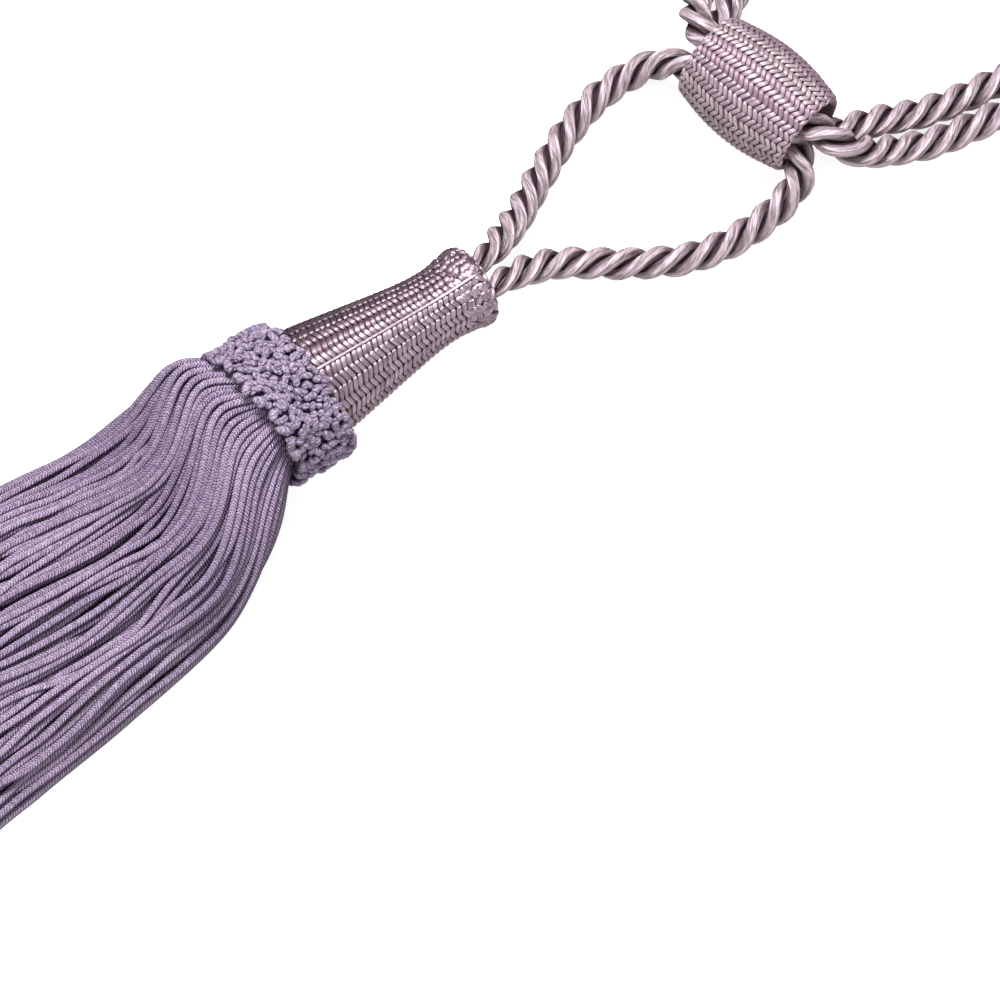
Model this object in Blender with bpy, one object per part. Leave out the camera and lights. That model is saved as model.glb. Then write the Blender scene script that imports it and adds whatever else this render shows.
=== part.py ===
"""A curtain tieback laid out straight: a tassel on a looped rope that a braided barrel gathers.

Metres, +Z up. The tassel lies along X with its skirt towards -X, and the origin is the middle of
the flat spot under its ruff. One rope leaves the tassel's head, runs three times through the
barrel, makes the two embrace loops beyond it, and ends back in the head.
"""

import math

import bmesh
import bpy
import numpy as np
from mathutils import Euler, Matrix, Vector

GAP = 0.0003  # between pieces that touch
SLAB = (0.8, 0.4, 0.02)  # the cutter whose top is the floor

# The tassel's own axis runs through the ruff, and nods towards the head's tip.
AXIS_HEIGHT = 0.019
AXIS_SIDE = 0.0006
AXIS_NOD = math.radians(3.4)
AXIS_YAW = math.radians(2.4)
AXIS_PLACE = Matrix.Translation((0, AXIS_SIDE, AXIS_HEIGHT))
TASSEL_AXIS = AXIS_PLACE @ Euler((0, AXIS_NOD, AXIS_YAW)).to_matrix().to_4x4()

# The ruff: a band of knots whose bore narrows towards the head.
RUFF_HALF_WIDTH = 0.0083
RUFF_EDGE_RADIUS = 0.0181
RUFF_CROWN = 0.0011  # how far the middle of the band stands over its edges
RUFF_SLANT = 0.10  # how far the band sits askew: its shift along the axis for each step across
RUFF_EASE = 0.0002  # more room in its bore, for the slant
NECK_WIDE = 0.0173  # the bore's radius on the skirt's side
NECK_NARROW = 0.0154  # and on the head's side
KNOTS_AROUND = 36
KNOT_ROWS = 6
KNOT_HEIGHT = 0.0014

# The head: distance along the axis and radius, from the ruff to the tip.
HEAD_PROFILE = (
    (0.0093, 0.0151),
    (0.0150, 0.0143),
    (0.0240, 0.0128),
    (0.0330, 0.0113),
    (0.0410, 0.0101),
    (0.0465, 0.0097),
    (0.0505, 0.0099),
    (0.0540, 0.0107),
    (0.0570, 0.0110),
    (0.0587, 0.0103),
    (0.0595, 0.0086),
)
HEAD_HOLE_RADIUS = 0.0071
HEAD_HOLE_DEPTH = 0.0135
HEAD_SEAT = 0.0013  # where the head's plug starts inside the ruff
HEAD_STEPS = 32

# The skirt: its strands stand on a golden lattice, which keeps them apart however the bundle is
# squashed. Each row is a section across them: its place, half width, middle, half height, and how
# far it has settled on to the floor, from 0 to 1.
STRAND_COUNT = 124
STRAND_SIDES = 3
STRAND_RADIUS = 0.00104
STRAND_ROOT_RADIUS = 0.00095
BUNDLE_RADIUS = 0.0158  # of the strands where they leave the backing
BACKING_START = -0.0077
BACKING_STEPS = 40
ROOT_DEPTH = 0.0030  # of each strand inside the backing
ROOT_REACH = 0.0020  # of its straight start outside
REST_CLEARANCE = 0.00005  # under the lowest strands
SKIRT_SECTIONS = (
    (-0.018, 0.0236, 0.0000, 0.0158, 0.10),
    (-0.030, 0.0275, -0.0041, 0.0124, 0.60),
    (-0.048, 0.0304, -0.0076, 0.0104, 1.00),
    (-0.072, 0.0346, -0.0080, 0.0091, 1.00),
    (-0.104, 0.0390, -0.0108, 0.0081, 1.00),
    (-0.142, 0.0445, -0.0146, 0.0072, 1.00),
)
SWEEP = -0.15  # how far a settled section's top is swept sideways, as a share of its half width
LATTICE_TURN = math.radians(7)  # chosen, with the shift, for the widest gaps in all sections
LATTICE_SHIFT = (0.05, 0.1)
TIP_SPREAD = 0.0035  # how unevenly the tips end
EDGE_DRAW = 0.006  # how much sooner the outermost strands end

# The barrel: its axis on the floor plan, from the end where the left strand enters.
BARREL_CENTRE = Vector((0.1495, 0.0089, 0.0142))
BARREL_TURN = math.radians(-76)
BARREL_HALF_LENGTH = 0.0173
BARREL_END_RADIUS = 0.0116
BARREL_BELLY_RADIUS = 0.0145
BARREL_BORE_RADIUS = 0.0097
BARREL_EDGE = 0.0007
BARREL_STEPS = 36
BELLY_STEPS = 8

# The rope: three strands laid left-handed.
ROPE_RADIUS = 0.0040
ROPE_GROOVE_RADIUS = 0.0028
ROPE_LAY = 0.0228  # the length of one turn of its strands
ROPE_STRANDS = 3
STEPS_PER_TURN = 7
HEAD_ROPE_SHARE = 0.72  # how far the rope is squeezed inside the head
SQUEEZED_LENGTH = 0.014
RELEASED_LENGTH = 0.026
BUNDLE_TURN = math.radians(120)  # how far the three passes turn round each other in the bore
PASS_RADIUS = 0.0049
PASS_DROP = 0.0004
PASS_POINTS = 5
CURVE_SAMPLES = 16  # between two neighbouring points of the route

# The rope's route, between its ends in the head and its passes through the barrel.
LEFT_STRAND = (
    (0.0650, 0.0078, 0.0151),
    (0.0725, 0.0116, 0.0115),
    (0.0802, 0.0162, 0.0072),
    (0.0883, 0.0216, 0.0047),
    (0.0948, 0.0254, 0.0041),
    (0.1022, 0.0294, 0.0041),
    (0.1095, 0.0326, 0.0041),
    (0.1173, 0.0350, 0.0041),
    (0.1245, 0.0357, 0.0045),
    (0.1328, 0.0339, 0.0074),
    (0.1372, 0.0307, 0.0096),
)
RIGHT_LOOP = (
    (0.1596, -0.0091, 0.0109),
    (0.1633, -0.0106, 0.0105),
    (0.1676, -0.0112, 0.0097),
    (0.1720, -0.0118, 0.0086),
    (0.1782, -0.0132, 0.0068),
    (0.1850, -0.0150, 0.0050),
    (0.1945, -0.0168, 0.0041),
    (0.2057, -0.0182, 0.0041),
    (0.2250, -0.0196, 0.0041),
    (0.2500, -0.0194, 0.0041),
    (0.2800, -0.0170, 0.0041),
    (0.3080, -0.0126, 0.0041),
    (0.3320, -0.0074, 0.0041),
    (0.3500, -0.0050, 0.0041),
    (0.3640, -0.0085, 0.0041),
    (0.3725, -0.0175, 0.0041),
    (0.3735, -0.0285, 0.0041),
    (0.3660, -0.0380, 0.0041),
    (0.3520, -0.0415, 0.0041),
    (0.3330, -0.0395, 0.0041),
    (0.3080, -0.0348, 0.0041),
    (0.2800, -0.0310, 0.0041),
    (0.2500, -0.0288, 0.0041),
    (0.2250, -0.0284, 0.0041),
    (0.2043, -0.0268, 0.0041),
    (0.1930, -0.0254, 0.0041),
    (0.1835, -0.0238, 0.0042),
    (0.1749, -0.0213, 0.0058),
    (0.1690, -0.0200, 0.0085),
    (0.1632, -0.0188, 0.0125),
    (0.1599, -0.0172, 0.0151),
    (0.1572, -0.0143, 0.0172),
    (0.1553, -0.0105, 0.0185),
)
TOP_LOOP = (
    (0.1502, 0.0294, 0.0114),
    (0.1519, 0.0318, 0.0106),
    (0.1557, 0.0340, 0.0100),
    (0.1596, 0.0362, 0.0094),
    (0.1633, 0.0387, 0.0087),
    (0.1700, 0.0437, 0.0066),
    (0.1815, 0.0496, 0.0043),
    (0.1980, 0.0530, 0.0041),
    (0.2220, 0.0526, 0.0041),
    (0.2500, 0.0492, 0.0041),
    (0.2800, 0.0440, 0.0041),
    (0.3050, 0.0386, 0.0041),
    (0.3250, 0.0350, 0.0041),
    (0.3410, 0.0356, 0.0041),
    (0.3525, 0.0435, 0.0041),
    (0.3545, 0.0555, 0.0041),
    (0.3470, 0.0660, 0.0041),
    (0.3330, 0.0696, 0.0041),
    (0.3130, 0.0672, 0.0041),
    (0.2850, 0.0636, 0.0041),
    (0.2550, 0.0618, 0.0041),
    (0.2260, 0.0624, 0.0041),
    (0.2000, 0.0622, 0.0041),
    (0.1790, 0.0590, 0.0046),
    (0.1680, 0.0530, 0.0064),
    (0.1580, 0.0452, 0.0101),
    (0.1547, 0.0427, 0.0122),
    (0.1517, 0.0401, 0.0145),
    (0.1490, 0.0370, 0.0166),
    (0.1469, 0.0333, 0.0182),
)
RIGHT_STRAND = (
    (0.1489, -0.0105, 0.0120),
    (0.1475, -0.0140, 0.0105),
    (0.1444, -0.0164, 0.0087),
    (0.1404, -0.0176, 0.0069),
    (0.1340, -0.0184, 0.0050),
    (0.1280, -0.0186, 0.0041),
    (0.1220, -0.0185, 0.0041),
    (0.1158, -0.0176, 0.0041),
    (0.1095, -0.0158, 0.0041),
    (0.1023, -0.0121, 0.0041),
    (0.0948, -0.0076, 0.0041),
    (0.0882, -0.0032, 0.0044),
    (0.0810, 0.0002, 0.0064),
    (0.0727, 0.0012, 0.0100),
    (0.0650, 0.0006, 0.0136),
)
HEAD_ROPE_OFFSET = 0.0032  # of each rope's end from the middle of the head's hole
HEAD_ROPE_ENDS = (0.0480, 0.0555)  # along the tassel's axis

MAUVE = (0.31, 0.21, 0.28)
DEEP_MAUVE = (0.27, 0.18, 0.25)
LILAC = (0.30, 0.22, 0.38)


def clear_scene():
    for item in list(bpy.data.objects):
        bpy.data.objects.remove(item)


def new_collection(name):
    collection = bpy.data.collections.new(name)
    bpy.context.scene.collection.children.link(collection)
    return collection


def cloth_material(name, colour, roughness):
    """A Principled material of one colour."""
    material = bpy.data.materials.new(name)
    material.use_nodes = True
    shader = material.node_tree.nodes["Principled BSDF"]
    shader.inputs["Base Color"].default_value = (*colour, 1)
    shader.inputs["Roughness"].default_value = roughness
    shader.inputs["Metallic"].default_value = 0
    return material


def add_object(name, data, collection, material=None):
    item = bpy.data.objects.new(name, data)
    if material:
        data.materials.append(material)
    collection.objects.link(item)
    return item


def add_helper(name, data, collection):
    """A cutter or guide, which is no part of the object."""
    item = add_object(name, data, collection)
    item.hide_render = True
    item.display_type = "WIRE"
    return item


def turned_mesh(name, profile, steps):
    """A closed profile of (distance along X, radius) points, spun round the X axis."""
    mesh = bpy.data.meshes.new(name)
    form = bmesh.new()
    corners = [form.verts.new((along, radius, 0)) for along, radius in profile]
    ring = list(zip(corners, corners[1:]))
    if profile[0][1] > 0:
        ring.append((corners[-1], corners[0]))
    edges = [form.edges.new(pair) for pair in ring]
    bmesh.ops.spin(
        form,
        geom=[*corners, *edges],
        cent=(0, 0, 0),
        axis=(1, 0, 0),
        angle=math.tau,
        steps=steps,
        use_merge=True,
    )
    bmesh.ops.remove_doubles(form, verts=form.verts, dist=1e-6)
    bmesh.ops.recalc_face_normals(form, faces=form.faces)
    form.to_mesh(mesh)
    form.free()
    mesh.shade_smooth()
    mesh.set_sharp_from_angle(angle=math.radians(35))
    return mesh


def cut_flat(item, cutter):
    """Cuts the item level with the floor."""
    cut = item.modifiers.new("flat_spot", "BOOLEAN")
    cut.operation = "DIFFERENCE"
    cut.object = cutter


def floor_cutter(collection):
    """A slab whose top is the floor."""
    mesh = bpy.data.meshes.new("floor_cutter")
    slab = bmesh.new()
    bmesh.ops.create_cube(slab, size=1)
    slab.to_mesh(mesh)
    slab.free()
    length, width, depth = SLAB
    mesh.transform(Matrix.Translation((0, 0, -depth / 2)) @ Matrix.Diagonal((length, width, depth, 1)))
    return add_helper("floor_cutter", mesh, collection)


def neck_radius(along):
    """The radius of the ruff's bore at a distance along the tassel's axis."""
    share = (along + RUFF_HALF_WIDTH) / (2 * RUFF_HALF_WIDTH)
    return NECK_WIDE + (NECK_NARROW - NECK_WIDE) * share


def ruff_mesh():
    """A ring whose outside is raised in staggered rows of knots."""
    columns, rows = 2 * KNOTS_AROUND, 2 * KNOT_ROWS
    outside = []
    for row in range(rows + 1):
        along = RUFF_HALF_WIDTH * (2 * row / rows - 1)
        crown = math.sqrt(max(0, 1 - (along / RUFF_HALF_WIDTH) ** 2))
        outside.append((along, RUFF_EDGE_RADIUS + RUFF_CROWN * crown))
    ends = (RUFF_HALF_WIDTH, -RUFF_HALF_WIDTH)
    bore = [(along, neck_radius(along) + RUFF_EASE) for along in ends]
    mesh = turned_mesh("ruff", outside + bore, columns)
    dice = np.random.default_rng(5)
    uneven = dice.uniform(0.7, 1.25, (rows + 1, columns))
    for vertex in mesh.vertices:
        row = round((vertex.co.x / RUFF_HALF_WIDTH + 1) * rows / 2)
        radius = math.hypot(vertex.co.y, vertex.co.z)
        if row % 2 == 0 or radius < RUFF_EDGE_RADIUS - 1e-4:
            continue
        column = round(math.atan2(vertex.co.z, vertex.co.y) / math.tau * columns) % columns
        if (column + row // 2) % 2 == 0:
            grown = 1 + KNOT_HEIGHT * uneven[row, column] / radius
            vertex.co.y *= grown
            vertex.co.z *= grown
    slant = Matrix.Identity(4)
    slant[0][1] = -RUFF_SLANT
    mesh.transform(slant)
    return mesh


def head_profile():
    plug = [(along, neck_radius(along) - GAP) for along in (HEAD_SEAT, RUFF_HALF_WIDTH)]
    tip = HEAD_PROFILE[-1][0]
    hole = [(tip, HEAD_HOLE_RADIUS), (tip - HEAD_HOLE_DEPTH, HEAD_HOLE_RADIUS)]
    return [(HEAD_SEAT, 0), *plug, *HEAD_PROFILE, *hole, (tip - HEAD_HOLE_DEPTH, 0)]


def barrel_profile():
    """A belly between two rounded ends, with the bore inside."""
    end = BARREL_HALF_LENGTH
    swell = BARREL_BELLY_RADIUS - BARREL_END_RADIUS
    belly_end = end - BARREL_EDGE
    outside = []
    for step in range(BELLY_STEPS + 1):
        along = belly_end * (2 * step / BELLY_STEPS - 1)
        outside.append((along, BARREL_END_RADIUS + swell * (1 - (along / end) ** 2)))
    bore, rim = BARREL_BORE_RADIUS, BARREL_END_RADIUS - BARREL_EDGE
    return [(-end, bore), (-end, rim), *outside, (end, rim), (end, bore)]


def golden_lattice(count):
    """Places in a disc of radius 1 that stay evenly apart when the disc is stretched along its axes."""
    golden = (1 + math.sqrt(5)) / 2
    cell = math.sqrt(math.pi / count / math.sqrt(5))
    reach = range(-40, 41)
    places = [
        cell * Vector((m + n * golden + LATTICE_SHIFT[0], m + n * (1 - golden) + LATTICE_SHIFT[1]))
        for m in reach
        for n in reach
    ]
    turn = Matrix.Rotation(LATTICE_TURN, 2)
    return [turn @ place for place in sorted(places, key=lambda place: place.length)[:count]]


def strand_route(across, up, tip_shift):
    """One strand of the skirt, from inside its backing to its tip. across and up are -1 to 1."""
    root = [
        TASSEL_AXIS @ Vector((along, across * BUNDLE_RADIUS, up * BUNDLE_RADIUS))
        for along in (BACKING_START + ROOT_DEPTH, BACKING_START - ROOT_REACH)
    ]
    depth = math.sqrt(max(0, 1 - across**2))
    settled_height = STRAND_RADIUS / 2 + REST_CLEARANCE
    route = []
    for place, half_width, middle, half_height, settled in SKIRT_SECTIONS:
        free_base = AXIS_HEIGHT - half_height * depth
        base = free_base + settled * (settled_height - free_base)
        route.append(
            Vector(
                (
                    place,
                    middle + half_width * (across + SWEEP * settled * up),
                    base + (up + depth) * half_height,
                )
            )
        )
    route[-1] += (route[-1] - route[-2]).normalized() * tip_shift
    return root + route


def strands_mesh(collection):
    """All the strands as one mesh of closed tubes, still apart from the backing."""
    section = bpy.data.curves.new("strand_section", "CURVE")
    loop = section.splines.new("POLY")
    loop.points.add(STRAND_SIDES - 1)
    loop.use_cyclic_u = True
    for number, point in enumerate(loop.points):
        angle = math.tau * number / STRAND_SIDES + math.pi / 2
        point.co = (math.cos(angle), math.sin(angle), 0, 1)
    guide = add_helper("strand_section", section, collection)
    curve = bpy.data.curves.new("strands", "CURVE")
    curve.dimensions = "3D"
    curve.twist_mode = "Z_UP"
    curve.bevel_mode = "OBJECT"
    curve.bevel_object = guide
    curve.use_fill_caps = True
    dice = np.random.default_rng(11)
    for across, up in golden_lattice(STRAND_COUNT):
        tip_shift = dice.uniform(-1, 1) * TIP_SPREAD - EDGE_DRAW * across**2
        route = strand_route(across, up, tip_shift)
        spline = curve.splines.new("POLY")
        spline.points.add(len(route) - 1)
        for number, (point, place) in enumerate(zip(spline.points, route)):
            point.co = (*place, 1)
            point.radius = STRAND_ROOT_RADIUS if number < 2 else STRAND_RADIUS
    item = add_helper("strand_curves", curve, collection)
    bpy.context.view_layer.update()
    mesh = bpy.data.meshes.new_from_object(item.evaluated_get(bpy.context.evaluated_depsgraph_get()))
    bpy.data.objects.remove(item)
    weld = bmesh.new()
    weld.from_mesh(mesh)
    bmesh.ops.remove_doubles(weld, verts=weld.verts, dist=1e-6)
    bmesh.ops.recalc_face_normals(weld, faces=weld.faces)
    weld.to_mesh(mesh)
    weld.free()
    return mesh


def add_skirt(parts, helpers, material):
    """The round backing under the ruff, with every strand's root fused into it."""
    backing_end = HEAD_SEAT - GAP
    radii = [(along, neck_radius(along) - GAP) for along in (BACKING_START, backing_end)]
    mesh = turned_mesh("skirt", [(BACKING_START, 0), *radii, (backing_end, 0)], BACKING_STEPS)
    mesh.transform(TASSEL_AXIS)
    skirt = add_object("skirt", mesh, parts, material)
    strands = add_helper("strands", strands_mesh(helpers), helpers)
    fuse = skirt.modifiers.new("roots", "BOOLEAN")
    fuse.operation = "UNION"
    fuse.object = strands
    return skirt


def bore_pass(number):
    """One of the three passes through the barrel, from its left end to its right."""
    start = {0: math.radians(210), 1: math.radians(330), 2: math.radians(90)}[number]
    turn = Matrix.Rotation(BARREL_TURN, 3, "Z")
    route = []
    for step in range(PASS_POINTS):
        share = step / (PASS_POINTS - 1)
        angle = start + BUNDLE_TURN * share
        offset = Vector(
            (
                BARREL_HALF_LENGTH * (2 * share - 1),
                PASS_RADIUS * math.cos(angle),
                PASS_RADIUS * math.sin(angle) - PASS_DROP,
            )
        )
        route.append(BARREL_CENTRE + turn @ offset)
    return route


def rope_route():
    """The rope's own points, from its left end in the head to its right end there."""
    ends = [
        [TASSEL_AXIS @ Vector((along, side * HEAD_ROPE_OFFSET, 0)) for along in HEAD_ROPE_ENDS]
        for side in (1, -1)
    ]
    listed = [[Vector(place) for place in run] for run in (LEFT_STRAND, RIGHT_LOOP, TOP_LOOP, RIGHT_STRAND)]
    return [
        *ends[0],
        *listed[0],
        *bore_pass(0),
        *listed[1],
        *reversed(bore_pass(1)),
        *listed[2],
        *bore_pass(2),
        *listed[3],
        *reversed(ends[1]),
    ]


def smooth_line(points, spacing):
    """A centripetal Catmull-Rom curve through the points, at an even spacing."""
    places = [2 * points[0] - points[1], *points, 2 * points[-1] - points[-2]]
    knots = [0.0]
    for first, second in zip(places, places[1:]):
        knots.append(knots[-1] + math.sqrt((second - first).length))
    fine = []
    for i in range(1, len(places) - 2):
        for t in np.linspace(knots[i], knots[i + 1], CURVE_SAMPLES, endpoint=False):
            level = places[i - 1 : i + 3]
            for span in (1, 2, 3):
                # Each round blends neighbours, as in Neville's scheme, kept inside the middle span.
                level = [
                    blend_points(level[k], level[k + 1], *blend_knots(knots, i, k, span), t)
                    for k in range(len(level) - 1)
                ]
            fine.append(level[0])
    fine.append(points[-1])
    return evenly_spaced(fine, spacing)


def blend_knots(knots, i, k, span):
    """The two knots that one blend of the Catmull-Rom scheme runs between."""
    if span == 3:
        return knots[i], knots[i + 1]
    return knots[i - 1 + k], knots[i - 1 + k + span]


def blend_points(first, second, start, end, t):
    share = (t - start) / (end - start)
    return first.lerp(second, share)


def evenly_spaced(line, spacing):
    places = np.array([tuple(place) for place in line])
    run = np.concatenate([[0], np.cumsum(np.linalg.norm(np.diff(places, axis=0), axis=1))])
    at = np.linspace(0, run[-1], round(run[-1] / spacing) + 1)
    return np.stack([np.interp(at, run, places[:, axis]) for axis in range(3)], axis=1), at


def add_rope(parts, helpers, material):
    """A star section, one arm for each strand, twisted along the route."""
    section = bpy.data.curves.new("rope_section", "CURVE")
    arms = section.splines.new("POLY")
    arms.points.add(2 * ROPE_STRANDS - 1)
    arms.use_cyclic_u = True
    for number, point in enumerate(arms.points):
        angle = -math.pi * number / ROPE_STRANDS
        radius = ROPE_GROOVE_RADIUS if number % 2 else ROPE_RADIUS
        point.co = (radius * math.cos(angle), radius * math.sin(angle), 0, 1)
    guide = add_helper("rope_section", section, helpers)
    curve = bpy.data.curves.new("rope", "CURVE")
    curve.dimensions = "3D"
    curve.twist_mode = "MINIMUM"
    curve.bevel_mode = "OBJECT"
    curve.bevel_object = guide
    curve.use_fill_caps = True
    line, run = smooth_line(rope_route(), ROPE_LAY / STEPS_PER_TURN)
    spline = curve.splines.new("POLY")
    spline.points.add(len(line) - 1)
    for point, place, along in zip(spline.points, line, run):
        from_end = min(along, run[-1] - along)
        released = (from_end - SQUEEZED_LENGTH) / (RELEASED_LENGTH - SQUEEZED_LENGTH)
        point.co = (*place, 1)
        point.tilt = -math.tau * along / ROPE_LAY
        point.radius = HEAD_ROPE_SHARE + (1 - HEAD_ROPE_SHARE) * min(1, max(0, released))
    rope = add_object("rope", curve, parts, material)
    facets = rope.modifiers.new("facets", "TRIANGULATE")
    facets.quad_method = "SHORTEST_DIAGONAL"
    return rope


def build():
    clear_scene()
    parts = new_collection("curtain_tieback")
    helpers = new_collection("helpers")
    satin = cloth_material("rope_satin", MAUVE, 0.42)
    braid = cloth_material("braid_satin", DEEP_MAUVE, 0.4)
    fringe = cloth_material("fringe_lilac", LILAC, 0.75)
    knots = cloth_material("ruff_lilac", LILAC, 0.8)
    floor = floor_cutter(helpers)

    axis = bpy.data.objects.new("tassel_axis", None)
    parts.objects.link(axis)
    axis.location = (0, AXIS_SIDE, AXIS_HEIGHT)
    axis.rotation_euler = (0, AXIS_NOD, AXIS_YAW)

    ruff = add_object("ruff", ruff_mesh(), parts, knots)
    ruff.parent = axis
    cut_flat(ruff, floor)

    head = add_object("head", turned_mesh("head", head_profile(), HEAD_STEPS), parts, braid)
    head.parent = axis

    add_skirt(parts, helpers, fringe)

    barrel = add_object("barrel", turned_mesh("barrel", barrel_profile(), BARREL_STEPS), parts, braid)
    barrel.location = BARREL_CENTRE
    barrel.rotation_euler = (0, 0, BARREL_TURN)
    cut_flat(barrel, floor)

    add_rope(parts, helpers, satin)


build()
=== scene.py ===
"""The looks of a curtain tieback: a strand-skirted tassel on a twisted rope, gathered by a barrel.

Metres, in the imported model's frame: the tassel lies along X with its skirt towards -X, the origin
is on the floor under its ruff, and +Z is up.
"""

import math
from dataclasses import dataclass

import bmesh
import bpy
import numpy as np
from mathutils import Euler, Matrix, Vector


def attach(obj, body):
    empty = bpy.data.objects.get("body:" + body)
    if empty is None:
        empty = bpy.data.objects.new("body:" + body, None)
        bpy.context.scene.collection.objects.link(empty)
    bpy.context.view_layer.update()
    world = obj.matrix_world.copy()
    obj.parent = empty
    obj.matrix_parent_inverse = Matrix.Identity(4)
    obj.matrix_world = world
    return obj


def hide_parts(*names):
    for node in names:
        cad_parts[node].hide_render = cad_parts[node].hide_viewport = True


# Camera
LOOK_AT = Vector((0.0355, -0.0443, 0))
CAMERA_AZIMUTH = math.radians(-33)
CAMERA_ELEVATION = math.radians(70)
CAMERA_DISTANCE = 0.65
LENS_MM = 93.6
SENSOR_MM = 36

# Studio: the sky is brightest low down on the camera's side, and the key light stands high up
# on the far side.
FLOOR_REACH = 3
FLOOR_GREYS = (0.79, 0.81)
FLOOR_GRAIN = 40.0
FLOOR_GLOW = 0.74
SKY_BRIGHT_SIDE = (-0.50, -0.86, -0.05)
SKY_STRENGTHS = (0.05, 1.20)
SKY_DARK_UNTIL = -0.7  # on the way from the side opposite the bright one, -1, to that one, 1
KEY_PLACE = Vector((0.17, 0.27, 0.78))
KEY_SIZE = 0.28
KEY_POWER = 12

# The tassel's axis runs through the ruff, and nods towards the head's tip.
AXIS_HEIGHT = 0.019
AXIS_SIDE = 0.0006
AXIS_NOD = math.radians(3.4)
AXIS_YAW = math.radians(2.4)
AXIS_PLACE = Matrix.Translation((0, AXIS_SIDE, AXIS_HEIGHT))
TASSEL_AXIS = AXIS_PLACE @ Euler((0, AXIS_NOD, AXIS_YAW)).to_matrix().to_4x4()

# The head's outside: distance along the axis and radius, from inside the ruff to the tip.
HEAD_PROFILE = (
    (0.0060, 0.0154),
    (0.0093, 0.0151),
    (0.0150, 0.0143),
    (0.0240, 0.0128),
    (0.0330, 0.0113),
    (0.0410, 0.0101),
    (0.0465, 0.0097),
    (0.0505, 0.0099),
    (0.0540, 0.0107),
    (0.0570, 0.0110),
    (0.0589, 0.0103),
    (0.0597, 0.0088),
    (0.0592, 0.0074),
    (0.0575, 0.0070),
)
HEAD_LIP = 3  # the points of the outside that turn over the edge of the hole
HEAD_STEPS = 64
HEAD_HOLE_FLOOR = 0.0460
HEAD_ARMS = 28
HEAD_PITCH = 0.00158
HEAD_SLANT = 0.38
HEAD_YARN = 0.00072
HEAD_SEAM_ARM = 8  # the arm whose edge the seam cord follows
HEAD_SEAM_RADIUS = 0.00034
TIP_START = 0.0510  # from here on the head's yarns are bound irregularly

BARREL_CENTRE = Vector((0.1495, 0.0089, 0.0142))
BARREL_TURN = math.radians(-76)
BARREL_HALF_LENGTH = 0.0173
BARREL_END_RADIUS = 0.0116
BARREL_BELLY_RADIUS = 0.0145
BARREL_BORE_RADIUS = 0.0097
BARREL_FULL_SHARE = 0.97  # of its length before its lip
BARREL_LIP = (0.0009, 0.0004, 0.0003)  # its height, its depth and how far it clears the bore
BARREL_STEPS = 72
BELLY_STEPS = 9
BARREL_ARMS = 36
BARREL_PITCH = 0.00165
BARREL_SLANT = 0.50
BARREL_YARN = 0.00060

# The braids: an arm is one column of yarns, which slant against those of the next one. Lengths
# along a yarn are shares of an arm's width, and across it shares of the pitch.
YARN_STEPS = 7
YARN_REACH = 0.62  # to each side: a yarn runs on a little under its neighbours
YARN_RISE = 0.00024  # from a yarn's ends to its middle
YARN_FULLNESS = 0.4  # the power that makes a yarn and its rise full almost to its ends
YARN_POINT = 0.35  # how far round a half circle its ends start
YARN_SINK = 0.55  # of its radius under the braid's outside
YARN_FLATNESS = 0.62
YARN_SIDES = 8
YARN_STRAY = 0.05  # along its arm
YARN_UNEVENNESS = 0.1  # of its rise
TIP_LEAN = 0.45  # how unevenly the irregular yarns slant
TIP_SHIFT = 0.15  # and lie round the tip
TIP_KNOBS = 0.00035  # how far the irregular yarns are sunk
COVER_DEPTH = 0.0009  # from a braid's outside to the form under it
HOLE_EDGE = (0.0008, 0.0010)  # how far inside the tip that form's hole starts, and how much wider

# The ruff: crochet cord in short bent bits, set askew round the neck.
RUFF_HALF_WIDTH = 0.0083
RUFF_EDGE_RADIUS = 0.0181
RUFF_CROWN = 0.0011
RUFF_SLANT = 0.10  # its shift along the axis for each step across
RUFF_BORE = 0.0160
RUFF_STRAY = 0.0003  # how far a bit strays along the axis
BIT_STEPS = 9
BIT_BENDS = (0.7, 1.2)  # radians to each side of a bit's middle
BIT_RISE = 0.8  # of its loop's radius that lies under the ruff's outside
KNOT_COUNT = 640
KNOT_REACH = 0.97
KNOT_CORD = 0.00096
KNOT_LOOP = 0.00135
KNOT_LOOP_SHARES = (0.8, 1.4)
KNOT_CORD_SHARES = (0.85, 1.15)
KNOT_SHIFT = 0.03  # how far a knot strays round the ruff, in radians
KNOT_SINK = 0.0011
BAND_SINK = 0.0012  # from the ruff's outside to the band under its cord
BAND_REACH = 0.92
BAND_STEPS = 72
BAND_STATIONS = 9
EDGE_LOOPS = 28
EDGE_REACH = 0.93
EDGE_CORD = 0.00115
EDGE_LOOP = 0.00215
EDGE_CORD_SHARES = (0.9, 1.1)
EDGE_SLANT = math.radians(38)
EDGE_TURN = 0.2  # how unevenly the loops are slanted, in radians
EDGE_SHIFT = 0.1  # and spaced, as a share of one
GOLDEN_ANGLE = math.pi * (3 - math.sqrt(5))

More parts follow.
